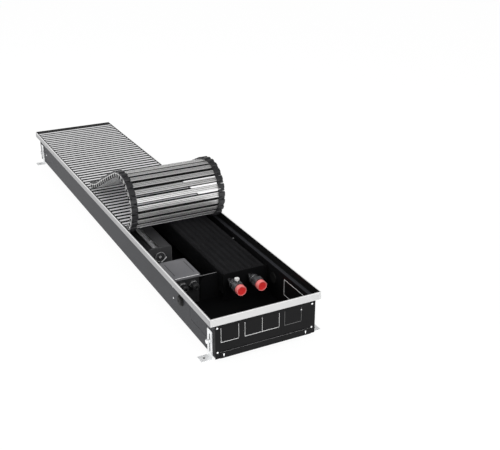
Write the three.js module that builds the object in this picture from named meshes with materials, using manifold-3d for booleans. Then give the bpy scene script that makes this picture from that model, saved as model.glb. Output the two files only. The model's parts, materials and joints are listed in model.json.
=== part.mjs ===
// Trench convector heater with a roll-up grille, shown with the grille rolled back from
// the connection end. Millimetres: X across the trough, Y along it (the connection end is
// at -Y), Z up. The origin is on the floor under the middle of the heater.
import * as THREE from 'three';
import { mergeVertices } from 'three/addons/utils/BufferGeometryUtils.js';
import Module from 'manifold-3d';

const wasm = await Module();
wasm.setup();

// Trough, end panels and frame
const heaterLength = 1501; // outside of the frame
const troughWidth = 246.4; // outside of the side walls
const troughHeight = 102.5; // frame top to the underside of the floor
const ledgeWidth = 11.2; // top flange of a side wall, turned outwards
const sheet = 1.2; // steel sheet
const hem = 2.4; // flange, folded double
const frameWall = 2.6;
const frameHeight = 18;
const frameFootWidth = 2;
const frameFootHeight = 1.5;
const panelInset = 1.8; // end face behind the frame's outer face
const lipHeight = 15.5; // end panel's bottom edge, folded outwards and up
const lipSideGap = 9.7; // lip end to side wall
const tabLength = 14; // end panel tab along the side wall
const tabRadius = 5;
const tabTopDrop = 13; // tab top below the ledge
const tabFootRise = 7; // tab bottom above the trough's underside
const endFoldWidth = 11; // end panel folded inwards under the last slat
const seat = 0.3; // gap kept between pieces that touch

// Knock-outs and grommets
const slitWidth = 0.8;
const slitBridge = 3; // sheet left at the corners of a knock-out
const endKnockoutWidth = 42.5;
const endKnockoutHeight = 37;
const endKnockoutShift = -10.6; // middle of the row of four, from the panel's middle
const endKnockoutSpace = 14; // outer knock-outs to the middle pair
const endKnockoutRise = 39; // bottom edge above the underside
const sideKnockoutLength = 91;
const sideKnockoutHeight = 41;
const sideKnockoutStart = 50; // from the heater's end
const sideKnockoutRise = 31;
const grommetRadius = 14.5;
const grommetHoleRadius = 13;
const grommetFlange = 1.5; // inside the wall
const grommetDome = 6.5; // outside the wall
const grommetStart = 193; // from the connection end
const grommetDrop = 50; // below the frame's top

// Levelling feet
const footLift = 9.5; // trough above the floor
const footWidth = 24;
const footStrip = 2;
const footHeight = 70;
const footReach = 27.5; // foot plate, measured out from the strip
const footInset = 31; // middle of a foot from the heater's end
const footSlotWidth = 6.5;
const footSlotFrom = 15; // above the floor
const footSlotTo = 61;
const footHoleRadius = 3.2;
const screwRadius = 2.8;
const screwHeadRadius = 5.4;
const screwHeadLength = 4;
const screwReach = 9; // head outside the strip
const screwRise = 42; // above the floor
const screwTail = 4; // inside the wall
const nutRadius = 4.8;
const nutLength = 2.4;

// Roll-up grille
const slatSpacing = 21.3;
const rolledSlats = 26;
const slatFace = 13; // width of a slat's top flange
const slatFaceThickness = 2;
const slatFootWidth = 12.4;
const slatFootThickness = 1.7;
const slatWeb = 2.2;
const matDrop = 0.3; // mat's top below the frame's top
const matSideGap = 0.4;
const linkLength = 19; // plastic end link, along the slat
const linkProud = 5.5; // link below the slat's foot
const linkKnuckle = 3; // knuckle radius
const hingeRise = 6; // hinge line above the links' underside
const linkGap = 0.4; // between knuckles
const knuckleSides = 3; // facets on the round end
const firstBend = 12; // degrees at the fold
const archBend = 16.3;
const archBends = 10;
const fallBends = 3;
const slopeBend = 0.4; // along the straight part of the fall
const liftBend = 4; // the tail flattens out again
const liftBends = 4;
const tailGap = 6.5; // tail above the slats that lie flat

// Tangential fan
const fanStart = 435; // from the connection end
const fanLength = 605;
const fanWidth = 64;
const fanDrop = 25; // fan top below the frame's top
const fanWallGap = 11; // from the side wall
const fanBase = 9.3; // casing above the trough's floor
const fanSkin = 1.5;
const fanCorner = 6;
const fanEndPlate = 2;
const scrollRadius = 27;
const impellerRadius = 22;
const impellerAxisIn = 31; // axis from the casing's wall side
const impellerAxisDrop = 27; // axis below the casing's top
const impellerGap = 8; // impeller to end plate
const impellerDisc = 2;
const impellerSections = 2;
const bladeCount = 12;
const bladeDepth = 6;
const bladeThickness = 1;
const bladeGap = 1; // blade tip inside the disc's rim
const bladeLean = 20; // degrees
const inletFrom = 12; // inlet slot in the top, from the casing's wall side
const inletTo = 31;
const outletHeight = 27;
const shaftRadius = 4;
const bearingRadius = 14.4;
const bearingLength = 8;
const motorRadius = 23;
const motorLength = 58;

// Heat exchanger, valves
const exchangerStart = 226; // from the connection end
const exchangerEndGap = 96; // from the far end
const exchangerWidth = 113;
const exchangerHeight = 55;
const exchangerDrop = 28; // below the frame's top
const exchangerWallGap = 7.5;
const finSpacing = 36;
const finThickness = 1.6;
const finWave = 3.2; // depth of the zigzag
const finFolds = 4;
const tubeRadius = 7.5;
const tubeSides = 6;
const tubeDrop = 50; // tubes below the frame's top
const tubeInset = 20.5; // first tube from the exchanger's open side
const tubeSpacing = 55;
const bendSteps = 6;
const bracketSheet = 1.5;
const bracketFlange = 18;
const valveLength = 59; // exchanger to the cap's face
const valveRadius = 11;
const unionRadius = 16; // hexagon across corners
const unionLength = 15;
const capRadius = 13;
const capLength = 12;
const capWall = 1.6;
const capRecess = 1.4;
const ventRadius = 5.8;
const ventHeight = 9;
const ventStem = 2.6;
const ventBoss = 1; // boss above the hexagon's flat
const ventRidges = 12;
const ventGroove = 0.6;
const ventAlong = 26; // from the cap's face

// Junction box
const boxStart = 251; // from the connection end
const boxLength = 99;
const boxWidth = 70;
const boxDrop = 25; // lid below the frame's top
const boxWallGap = 5;
const boxWall = 2.4;
const boxCorner = 4;
const lidSkirt = 6.4;
const lidSheet = 2;
const lidGroove = 1.6;
const lidGrooveDepth = 0.6;
const glandRadius = 11;
const glandLength = 20;
const glandNeck = 6.8;
const glandBore = 3.5;
const glandInset = 23; // first gland from the box's wall side
const glandSpacing = 28;
const glandRise = 51; // above the trough's floor
const baffleDrop = 38; // baffle's top below the frame's top
const baffleRadius = 14;

// Facets
const roundSides = 16;
const smallSides = 8;
const flatness = 0.001; // faces this close to one plane are merged

// Levels and positions that follow from the sizes
const topZ = footLift + troughHeight;
const ledgeZ = topZ - frameHeight - seat;
const floorZ = footLift + sheet;
const wallX = troughWidth / 2;
const wallInnerX = wallX - sheet;
const flangeX = wallX + ledgeWidth;
const frameX = flangeX + frameWall;
const endY = heaterLength / 2;
const lipY = endY - panelInset;
const panelY = lipY - sheet - seat;
const panelInnerY = panelY - sheet;
const shellY = panelInnerY - seat;
const restZ = floorZ + seat;

const steelBlack = finish(0x2b2b2e, 0.55, 0.3);
const wallGrey = finish(0x3a3b3e, 0.5, 0.3);
const aluminium = finish(0xc9cacc, 0.35, 0.9);
const zinc = finish(0xd2d4d6, 0.3, 0.9);
const plasticBlack = finish(0x1b1c1e, 0.5, 0);
const finBlack = finish(0x1d1d20, 0.5, 0.3);
const nickel = finish(0x8d8f93, 0.35, 0.9);
const redPlastic = finish(0xe0262d, 0.4, 0);
const whitePlastic = finish(0xe8e8e6, 0.45, 0);
const boxGrey = finish(0x77787b, 0.5, 0);

const heater = new THREE.Group();

function finish(color, roughness, metalness) {
  return new THREE.MeshStandardMaterial({ color, roughness, metalness });
}

// Turns a closed three.js geometry into a solid that can be joined and cut.
function solid(geometry) {
  geometry.deleteAttribute('normal');
  geometry.deleteAttribute('uv');
  const merged = mergeVertices(geometry, 1e-4);
  const corners = [];
  for (let i = 0; i < merged.index.count; i += 3) {
    const [a, b, c] = [0, 1, 2].map((k) => merged.index.getX(i + k));
    if (a !== b && b !== c && c !== a) corners.push(a, b, c);
  }
  return new wasm.Manifold(new wasm.Mesh({
    numProp: 3,
    vertProperties: new Float32Array(merged.attributes.position.array),
    triVerts: new Uint32Array(corners),
  }));
}

function join(...bodies) {
  return bodies.flat().reduce((sum, body) => sum.add(body));
}

function cut(body, ...tools) {
  return tools.flat().reduce((rest, tool) => rest.subtract(tool), body);
}

function geometryOf(body) {
  const { vertProperties, triVerts } = body.asOriginal().simplify(flatness).getMesh();
  const geometry = new THREE.BufferGeometry();
  geometry.setAttribute('position', new THREE.BufferAttribute(new Float32Array(vertProperties), 3));
  geometry.setIndex(new THREE.BufferAttribute(new Uint32Array(triVerts), 1));
  geometry.computeVertexNormals();
  return geometry;
}

function place(name, body, material, parent = heater) {
  const geometry = body.isBufferGeometry ? body : geometryOf(body);
  const mesh = new THREE.Mesh(geometry, material);
  mesh.name = name;
  parent.add(mesh);
  return mesh;
}

// Outline extruded along one axis. The outline's two numbers are the other two axes in
// X, Y, Z order, except along x, where they are y and z.
function prism(axis, outline, from, to) {
  const low = Math.min(from, to);
  const depth = Math.abs(to - from);
  const shape = new THREE.Shape(outline.map(([u, v]) => new THREE.Vector2(u, v)));
  const geometry = new THREE.ExtrudeGeometry(shape, { depth, bevelEnabled: false, steps: 1 });
  if (axis === 'x') {
    const turn = new THREE.Matrix4();
    turn.makeBasis(new THREE.Vector3(0, 1, 0), new THREE.Vector3(0, 0, 1), new THREE.Vector3(1, 0, 0));
    geometry.applyMatrix4(turn).translate(low, 0, 0);
  } else if (axis === 'y') {
    geometry.rotateX(Math.PI / 2).translate(0, low + depth, 0);
  } else {
    geometry.translate(0, 0, low);
  }
  return solid(geometry);
}

function block([x0, x1], [y0, y1], [z0, z1]) {
  const geometry = new THREE.BoxGeometry(Math.abs(x1 - x0), Math.abs(y1 - y0), Math.abs(z1 - z0));
  geometry.translate((x0 + x1) / 2, (y0 + y1) / 2, (z0 + z1) / 2);
  return solid(geometry);
}

function circle([u, v], radius, sides, turn = 0) {
  return Array.from({ length: sides }, (_, i) => {
    const angle = turn + (2 * Math.PI * i) / sides;
    return [u + radius * Math.cos(angle), v + radius * Math.sin(angle)];
  });
}

function arc([u, v], radius, fromDegrees, toDegrees, steps) {
  return Array.from({ length: steps + 1 }, (_, i) => {
    const angle = THREE.MathUtils.degToRad(fromDegrees + ((toDegrees - fromDegrees) * i) / steps);
    return [u + radius * Math.cos(angle), v + radius * Math.sin(angle)];
  });
}

function roundedRectangle([u0, u1], [v0, v1], radius, steps = 3) {
  return [
    ...arc([u1 - radius, v0 + radius], radius, -90, 0, steps),
    ...arc([u1 - radius, v1 - radius], radius, 0, 90, steps),
    ...arc([u0 + radius, v1 - radius], radius, 90, 180, steps),
    ...arc([u0 + radius, v0 + radius], radius, 180, 270, steps),
  ];
}

// Revolved about an axis that runs along y. Each profile pair is radius and y, rising in y.
function turned(profile, [x, z], sides = roundSides) {
  const points = profile.map(([radius, y]) => new THREE.Vector2(radius, y));
  return solid(new THREE.LatheGeometry(points, sides).translate(x, 0, z));
}

// The same about an axis along z.
function turnedUp(profile, [x, y], sides = roundSides) {
  const points = profile.map(([radius, z]) => new THREE.Vector2(radius, z));
  return solid(new THREE.LatheGeometry(points, sides).rotateX(Math.PI / 2).translate(x, y, 0));
}

// The same about an axis along x.
function turnedAcross(profile, [y, z], sides = roundSides) {
  const points = profile.map(([radius, x]) => new THREE.Vector2(radius, x));
  return solid(new THREE.LatheGeometry(points, sides).rotateZ(-Math.PI / 2).translate(0, y, z));
}

// Four slits round a knock-out, with sheet left at the corners. side is x or y: the axis
// that the sheet faces.
function knockoutSlits(side, depth, [a0, a1], [z0, z1]) {
  const half = slitWidth / 2;
  const spans = [
    [[a0 + slitBridge, a1 - slitBridge], [z0 - half, z0 + half]],
    [[a0 + slitBridge, a1 - slitBridge], [z1 - half, z1 + half]],
    [[a0 - half, a0 + half], [z0 + slitBridge, z1 - slitBridge]],
    [[a1 - half, a1 + half], [z0 + slitBridge, z1 - slitBridge]],
  ];
  return spans.map(([along, up]) => (side === 'y' ? block(along, depth, up) : block(depth, along, up)));
}

function buildTrough() {
  const half = [
    [wallX, footLift],
    [wallX, ledgeZ - hem],
    [flangeX, ledgeZ - hem],
    [flangeX, ledgeZ],
    [wallInnerX, ledgeZ],
    [wallInnerX, floorZ],
  ];
  const section = [...half, ...half.map(([x, z]) => [-x, z]).reverse()];
  let body = prism('y', section, -shellY, shellY);
  for (const side of [-1, 1]) {
    const through = [side * (wallX + sheet), side * (wallInnerX - sheet)];
    const knockoutY = [-endY + sideKnockoutStart, -endY + sideKnockoutStart + sideKnockoutLength];
    const knockoutZ = [footLift + sideKnockoutRise, footLift + sideKnockoutRise + sideKnockoutHeight];
    const hole = circle([-endY + grommetStart, topZ - grommetDrop], grommetHoleRadius, roundSides);
    body = cut(body, prism('x', hole, ...through), knockoutSlits('x', through, knockoutY, knockoutZ));
    for (const end of [-1, 1]) {
      const screwHole = circle([end * (endY - footInset), screwRise], screwRadius + seat, smallSides);
      body = cut(body, prism('x', screwHole, ...through));
    }
  }
  place('trough_shell', body, wallGrey);
}

function buildEndPanel(name, end) {
  const lipX = wallX - lipSideGap;
  const tabX = wallX + seat;
  const outline = [
    [tabX + sheet, footLift],
    [tabX + sheet, ledgeZ - hem - seat],
    [wallX, ledgeZ - hem - seat],
    [wallX, ledgeZ],
    [-wallX, ledgeZ],
    [-wallX, ledgeZ - hem - seat],
    [-tabX - sheet, ledgeZ - hem - seat],
    [-tabX - sheet, footLift],
  ];
  let body = prism('y', outline, end * panelInnerY, end * panelY);
  const foldX = wallInnerX - seat;
  const foldInnerY = panelInnerY - endFoldWidth;
  const fold = block([-foldX, foldX], [end * foldInnerY, end * panelY], [ledgeZ - sheet, ledgeZ]);
  const lip = block([-lipX, lipX], [end * panelInnerY, end * lipY], [footLift, footLift + lipHeight]);
  body = join(body, fold, lip);
  for (const side of [-1, 1]) {
    const low = footLift + tabFootRise;
    const high = ledgeZ - tabTopDrop;
    const free = endY - tabLength;
    const tab = [
      [end * panelY, low],
      [end * panelY, high],
      ...arc([end * (free + tabRadius), high - tabRadius], tabRadius, 90, end > 0 ? 180 : 0, 3),
      ...arc([end * (free + tabRadius), low + tabRadius], tabRadius, end > 0 ? 180 : 360, 270, 3),
    ];
    body = join(body, prism('x', tab, side * tabX, side * (tabX + sheet)));
  }
  const through = [end * (panelY + sheet), end * (panelInnerY - sheet)];
  const firstX = endKnockoutShift - 2 * endKnockoutWidth - endKnockoutSpace;
  const starts = [
    firstX,
    endKnockoutShift - endKnockoutWidth,
    endKnockoutShift,
    endKnockoutShift + endKnockoutWidth + endKnockoutSpace,
  ];
  const knockoutZ = [footLift + endKnockoutRise, footLift + endKnockoutRise + endKnockoutHeight];
  for (const x of starts) {
    const along = [x, x + endKnockoutWidth];
    body = cut(body, knockoutSlits('y', through, along, knockoutZ));
  }
  place(name, body, steelBlack);
}

// L section with mitred ends. The rail is built along y, then turned for the short sides.
function buildFrameRail(name, alongY, side) {
  const across = alongY ? frameX : endY;
  const along = alongY ? endY : frameX;
  const foot = across - frameWall - frameFootWidth;
  const bottom = ledgeZ + seat;
  const outline = [
    [across, bottom],
    [across, topZ],
    [across - frameWall, topZ],
    [across - frameWall, bottom + frameFootHeight],
    [foot, bottom + frameFootHeight],
    [foot, bottom],
  ];
  const shape = new THREE.Shape(outline.map(([u, v]) => new THREE.Vector2(u, v)));
  const geometry = new THREE.ExtrudeGeometry(shape, { depth: 2 * along, bevelEnabled: false, steps: 1 });
  geometry.rotateX(Math.PI / 2).translate(0, along, 0);
  const points = geometry.attributes.position;
  for (let i = 0; i < points.count; i += 1) {
    const end = Math.sign(points.getY(i));
    points.setY(i, end * (along - (across - points.getX(i)) - seat / 2));
  }
  const quarter = alongY ? (side > 0 ? 0 : 2) : (side > 0 ? 1 : 3);
  geometry.rotateZ((quarter * Math.PI) / 2);
  place(name, solid(geometry), aluminium);
}

function buildFrame() {
  buildFrameRail('frame_rail_left', true, -1);
  buildFrameRail('frame_rail_right', true, 1);
  buildFrameRail('frame_rail_near', false, -1);
  buildFrameRail('frame_rail_far', false, 1);
}

function buildFoot(name, side, end) {
  const middleY = end * (endY - footInset);
  const inner = wallX + seat;
  const outer = inner + footStrip;
  const acrossY = [middleY - footWidth / 2, middleY + footWidth / 2];
  const stripOutline = roundedRectangle(acrossY, [0, footHeight], 3, 1);
  const lowStrip = block([side * inner, side * outer], acrossY, [0, footStrip + 4]);
  const strip = join(prism('x', stripOutline, side * inner, side * outer), lowStrip);
  const plate = block([side * inner, side * (outer + footReach - footStrip)], acrossY, [0, footStrip]);
  const slotY = [middleY - footSlotWidth / 2, middleY + footSlotWidth / 2];
  const slot = roundedRectangle(slotY, [footSlotFrom, footSlotTo], footSlotWidth / 2 - 0.01, 2);
  const slotCut = prism('x', slot, side * (inner - 1), side * (outer + 1));
  const holeX = side * (outer + footReach / 2);
  const hole = prism('z', circle([holeX, middleY], footHoleRadius, smallSides), -1, footStrip + 1);
  place(`foot_bracket_${name}`, cut(join(strip, plate), slotCut, hole), zinc);
}

function buildClampScrew(name, side, end) {
  const middleY = end * (endY - footInset);
  const strip = wallX + seat + footStrip + seat;
  const head = strip + screwReach;
  const profile = [
    [0, wallInnerX - screwTail],
    [screwRadius, wallInnerX - screwTail],
    [screwRadius, strip],
    [nutRadius, strip],
    [nutRadius, strip + nutLength],
    [screwRadius, strip + nutLength],
    [screwRadius, head - screwHeadLength],
    [screwHeadRadius, head - screwHeadLength],
    [screwHeadRadius, head - 1.2],
    [screwHeadRadius * 0.6, head],
    [0, head],
  ];
  const body = side > 0 ? profile : profile.map(([radius, x]) => [radius, -x]).reverse();
  place(`foot_screw_${name}`, turnedAcross(body, [middleY, screwRise], smallSides), zinc);
}

function buildFeet() {
  for (const [sideName, side] of [['left', -1], ['right', 1]]) {
    for (const [endName, end] of [['near', -1], ['far', 1]]) {
      buildFoot(`${endName}_${sideName}`, side, end);
      buildClampScrew(`${endName}_${sideName}`, side, end);
    }
  }
}

function buildGrommet(name, side) {
  const outer = wallX + seat;
  const inner = wallInnerX - seat;
  const neck = grommetHoleRadius - seat;
  const profile = [
    [0, inner - grommetFlange],
    [grommetRadius, inner - grommetFlange],
    [grommetRadius, inner],
    [neck, inner],
    [neck, outer],
    [grommetRadius, outer],
    [grommetRadius, outer + grommetFlange],
    ...arc([grommetRadius - grommetDome, outer + grommetFlange], grommetDome - grommetFlange, 0, 90, 3),
    [0, outer + grommetDome],
  ];
  const body = side > 0 ? profile : profile.map(([radius, x]) => [radius, -x]).reverse();
  place(name, turnedAcross(body, [-endY + grommetStart, topZ - grommetDrop]), plasticBlack);
}

// ---- roll-up grille ----
const matHalf = flangeX - frameFootWidth - matSideGap;
const matEnd = endY - frameWall - frameFootWidth - matSideGap;
const matTop = topZ - matDrop;
const matUnder = ledgeZ + seat;
const slatCount = Math.round((2 * matEnd) / slatSpacing);
const pitch = (2 * matEnd) / slatCount;
const hingeZ = matUnder + hingeRise;
const faceZ = matTop - hingeZ; // slat face above the hinge line
const foldY = -matEnd + rolledSlats * pitch;

// I section of a slat in a link's own frame: the hinge is at 0, 0 and the link runs to -y.
function slatOutline() {
  const middle = -pitch / 2;
  const footZ = linkProud - hingeRise;
  const half = [
    [slatFace / 2, faceZ],
    [slatFace / 2, faceZ - slatFaceThickness],
    [slatWeb / 2, faceZ - slatFaceThickness],
    [slatWeb / 2, footZ + slatFootThickness],
    [slatFootWidth / 2, footZ + slatFootThickness],
    [slatFootWidth / 2, footZ],
  ];
  const right = half.map(([y, z]) => [middle + y, z]);
  const left = half.map(([y, z]) => [middle - y, z]).reverse();
  return [...right, ...left];
}

// Block of an end link, which holds the slat's end. It is as wide as the slat's face.
function linkBlock(side) {
  const x = [side * (matHalf - linkLength), side * matHalf];
  const y = [-(pitch + slatFace) / 2, -(pitch - slatFace) / 2];
  return block(x, y, [-hingeRise, faceZ - slatFaceThickness]);
}

// Knuckle at a hinge, pointing to +y or -y from its block. The knuckles of two neighbours
// lie side by side on one hinge line: the outer lane belongs to the link nearer the tail,
// the inner lane to the other.
function knuckle(side, lane, hingeY, towards) {
  const width = (linkLength - linkGap) / 2;
  const outer = lane === 'outer' ? matHalf : matHalf - width - linkGap;
  const root = hingeY - (towards * (pitch - slatFace)) / 2;
  const from = towards > 0 ? -90 : 90;
  const outline = [
    [root, -towards * linkKnuckle],
    ...arc([hingeY, 0], linkKnuckle, from, from + 180, knuckleSides),
    [root, towards * linkKnuckle],
  ];
  return prism('x', outline, side * (outer - width), side * outer);
}

function slatLink(isLast) {
  let body = prism('x', slatOutline(), -matHalf, matHalf);
  for (const side of [-1, 1]) {
    body = join(body, linkBlock(side), knuckle(side, 'outer', 0, 1));
    if (!isLast) body = join(body, knuckle(side, 'inner', -pitch, -1));
  }
  return geometryOf(body);
}

// Slats that still lie in the frame, from the fold to the far end.
function flatMat() {
  const count = slatCount - rolledSlats;
  const parts = [];
  const slat = prism('x', slatOutline(), -matHalf, matHalf);
  for (let i = 1; i <= count; i += 1) {
    parts.push(slat.translate([0, i * pitch, 0]));
    for (const side of [-1, 1]) parts.push(linkBlock(side).translate([0, i * pitch, 0]));
  }
  for (const side of [-1, 1]) {
    const clear = (pitch - slatFace) / 2;
    const x = [side * (matHalf - linkLength), side * matHalf];
    parts.push(block(x, [clear, count * pitch - clear], [-linkKnuckle, linkKnuckle]));
    parts.push(knuckle(side, 'inner', 0, -1));
  }
  return join(parts).translate([0, foldY, hingeZ]);
}

// Bends at the hinges, from the fold to the tail, in degrees. The mat leaves the frame,
// makes an arch, falls back over itself and flattens out just above the other slats.
function restBends(fallBend) {
  const bends = [firstBend];
  for (let i = 0; i < archBends; i += 1) bends.push(archBend);
  for (let i = 0; i < fallBends; i += 1) bends.push(fallBend);
  while (bends.length < rolledSlats - liftBends) bends.push(slopeBend);
  while (bends.length < rolledSlats) bends.push(-liftBend);
  return bends;
}

// Lowest point of the turned-over slats above the slats that lie flat.
function tailClearance(bends) {
  let direction = 0;
  let z = 0;
  let lowest = Infinity;
  bends.forEach((bend, i) => {
    direction += THREE.MathUtils.degToRad(bend);
    const start = z;
    z += pitch * Math.sin(direction);
    if (i > archBends) {
      const near = (pitch - slatFace) / 2;
      for (const along of [near, pitch - near]) {
        const point = start + along * Math.sin(direction) + faceZ * Math.cos(direction);
        lowest = Math.min(lowest, point - faceZ);
      }
    }
  });
  return lowest;
}

// The fall is as steep as it has to be for the tail to come down to its gap.
function settledBends() {
  let shallow = 0;
  let steep = 12;
  for (let i = 0; i < 40; i += 1) {
    const trial = (shallow + steep) / 2;
    if (tailClearance(restBends(trial)) > tailGap) shallow = trial;
    else steep = trial;
  }
  return restBends(shallow);
}

function buildGrille() {
  place('grille_flat_mat', flatMat(), aluminium);
  const link = slatLink(false);
  const lastLink = slatLink(true);
  const bends = settledBends();
  let parent = new THREE.Group();
  parent.position.set(0, foldY, hingeZ);
  heater.add(parent);
  bends.forEach((bend, i) => {
    const hinge = new THREE.Group();
    hinge.position.y = i === 0 ? 0 : -pitch;
    hinge.rotation.x = THREE.MathUtils.degToRad(-bend);
    const number = String(i + 1).padStart(2, '0');
    place(`grille_slat_${number}`, i === bends.length - 1 ? lastLink : link, aluminium, hinge);
    parent.add(hinge);
    parent = hinge;
  });
}

// ---- tangential fan ----
const fanX0 = -wallInnerX + fanWallGap;
const fanX1 = fanX0 + fanWidth;
const fanTop = topZ - fanDrop;
const fanLow = floorZ + fanBase;
const fanY0 = -endY + fanStart;
const fanY1 = fanY0 + fanLength;
const fanAxis = [fanX0 + impellerAxisIn, fanTop - impellerAxisDrop];

function buildFanHousing() {
  const [axisX, axisZ] = fanAxis;
  const inlet0 = fanX0 + inletFrom;
  const inlet1 = fanX0 + inletTo;
  const inner = scrollRadius;
  const outer = scrollRadius + fanSkin;
  // Cover: top from the inlet to the room side, then down to the outlet.
  const cover = [
    [inlet1, fanTop],
    ...arc([fanX1 - fanCorner, fanTop - fanCorner], fanCorner, 90, 0, 3),
    [fanX1, fanLow + outletHeight],
    [fanX1 - fanSkin, fanLow + outletHeight],
    ...arc([fanX1 - fanCorner, fanTop - fanCorner], fanCorner - fanSkin, 0, 90, 3),
    [inlet1, fanTop - fanSkin],
  ];
  // Scroll: from the inlet round the wall side and along the bottom to the outlet.
  const scroll = [
    [inlet0, fanTop],
    ...arc([axisX, axisZ], outer, 130, 270, 9),
    [fanX1, fanLow],
    [fanX1, fanLow + fanSkin],
    ...arc([axisX, axisZ], inner, 270, 130, 9),
    [inlet0 + fanSkin, fanTop],
  ];
  const plate = roundedRectangle([fanX0, fanX1], [restZ, fanTop], fanCorner, 3);
  const nearPlate = prism('y', plate, fanY0, fanY0 + fanEndPlate);
  const farPlate = prism('y', plate, fanY1 - fanEndPlate, fanY1);
  const bearingHole = circle(fanAxis, bearingRadius + seat, roundSides);
  const motorHole = circle(fanAxis, shaftRadius + 2, smallSides);
  const body = join(
    prism('y', cover, fanY0 + 1, fanY1 - 1),
    prism('y', scroll, fanY0 + 1, fanY1 - 1),
    nearPlate,
    farPlate,
  );
  const holes = [
    prism('y', bearingHole, fanY0 - 1, fanY0 + fanEndPlate + 1),
    prism('y', motorHole, fanY1 - fanEndPlate - 1, fanY1 + 1),
  ];
  place('fan_housing', cut(body, holes), plasticBlack);
}

// A blade leans forward from its root to the rim.
function bladeOutline(turn) {
  const root = { radius: impellerRadius - bladeDepth, angle: turn };
  const rim = { radius: impellerRadius - bladeGap, angle: turn + THREE.MathUtils.degToRad(bladeLean) };
  const at = ({ radius, angle }, shift) => [
    fanAxis[0] + radius * Math.cos(angle + shift / radius),
    fanAxis[1] + radius * Math.sin(angle + shift / radius),
  ];
  const half = bladeThickness / 2;
  return [at(root, -half), at(rim, -half), at(rim, half), at(root, half)];
}

function buildImpeller() {
  const y0 = fanY0 + fanEndPlate + impellerGap;
  const y1 = fanY1 - fanEndPlate - impellerGap;
  const step = (y1 - y0 - impellerDisc) / impellerSections;
  const parts = [];
  for (let i = 0; i < bladeCount; i += 1) {
    const outline = bladeOutline((2 * Math.PI * i) / bladeCount);
    parts.push(prism('y', outline, y0 + impellerDisc / 2, y1 - impellerDisc / 2));
  }
  for (let i = 0; i <= impellerSections; i += 1) {
    const y = y0 + i * step;
    parts.push(prism('y', circle(fanAxis, impellerRadius, roundSides), y, y + impellerDisc));
  }
  const shaft = circle(fanAxis, shaftRadius, smallSides);
  parts.push(prism('y', shaft, fanY0 - 2, y0 + impellerDisc / 2));
  parts.push(prism('y', shaft, y1 - impellerDisc / 2, fanY1 - fanEndPlate / 2));
  place('fan_impeller', join(parts), finBlack);
}

function buildFanBearing() {
  const bore = shaftRadius + seat;
  const y0 = fanY0 - (bearingLength - fanEndPlate) / 2;
  const profile = [
    [bore, y0],
    [bearingRadius - 3, y0],
    [bearingRadius, y0 + 2],
    [bearingRadius, y0 + bearingLength],
    [bore, y0 + bearingLength],
    [bore, y0],
  ];
  place('fan_bearing', turned(profile, fanAxis), plasticBlack);
}

function buildFanMotor() {
  const y0 = fanY1 + seat;
  const profile = [
    [0, y0],
    [motorRadius, y0],
    [motorRadius, y0 + 4],
    [motorRadius - 2, y0 + 5],
    [motorRadius - 2, y0 + motorLength - 4],
    [motorRadius - 6, y0 + motorLength],
    [0, y0 + motorLength],
  ];
  place('fan_motor', turned(profile, fanAxis), finBlack);
}

// ---- heat exchanger ----
const coreX1 = wallInnerX - exchangerWallGap;
const coreX0 = coreX1 - exchangerWidth;
const coreTop = topZ - exchangerDrop;
const coreLow = coreTop - exchangerHeight;
const coreY0 = -endY + exchangerStart;
const coreY1 = endY - exchangerEndGap;
const tubeZ = topZ - tubeDrop;
const tubeX = [coreX0 + tubeInset, coreX0 + tubeInset + tubeSpacing];
const ventSeatZ = tubeZ + unionRadius * Math.cos(Math.PI / 6) + ventBoss;

// A fin seen from above: a zigzag across the exchanger.
function finOutline(y) {
  const line = Array.from({ length: finFolds + 1 }, (_, i) => {
    const x = coreX0 + ((coreX1 - coreX0) * i) / finFolds;
    return [x, y + (i % 2 ? finWave / 2 : -finWave / 2)];
  });
  const front = line.map(([x, v]) => [x, v - finThickness / 2]);
  const back = line.map(([x, v]) => [x, v + finThickness / 2]).reverse();
  return [...front, ...back];
}

function buildHeatExchanger() {
  const parts = [];
  const finGaps = Math.round((coreY1 - coreY0) / finSpacing);
  for (let i = 1; i < finGaps; i += 1) {
    const y = coreY0 + ((coreY1 - coreY0) * i) / finGaps;
    parts.push(prism('z', finOutline(y), coreLow, coreTop));
  }
  for (const x of tubeX) {
    parts.push(prism('y', circle([x, tubeZ], tubeRadius, tubeSides), coreY0, coreY1));
  }
  parts.push(returnBend());
  // End brackets stand on the floor and turn along the side wall.
  for (const end of [-1, 1]) {
    const y = end < 0 ? coreY0 : coreY1 - bracketSheet;
    const wall = wallInnerX - seat;
    const into = end < 0 ? y + bracketFlange : y + bracketSheet - bracketFlange;
    parts.push(block([coreX0, wall], [y, y + bracketSheet], [restZ, coreTop]));
    parts.push(block([wall - bracketSheet, wall], [y, into], [coreLow, coreTop]));
  }
  place('heat_exchanger_core', join(parts), finBlack);
}

function returnBend() {
  const outline = circle([0, 0], tubeRadius, tubeSides);
  const section = new THREE.Shape(outline.map(([u, v]) => new THREE.Vector2(u, v)));
  const middle = (tubeX[0] + tubeX[1]) / 2;
  const line = arc([middle, coreY1 - 1], tubeSpacing / 2, 0, 180, 2 * bendSteps);
  const bend = new THREE.CatmullRomCurve3(line.map(([x, y]) => new THREE.Vector3(x, y, tubeZ)));
  const settings = { steps: bendSteps, extrudePath: bend, bevelEnabled: false };
  return solid(new THREE.ExtrudeGeometry(section, settings));
}

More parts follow.
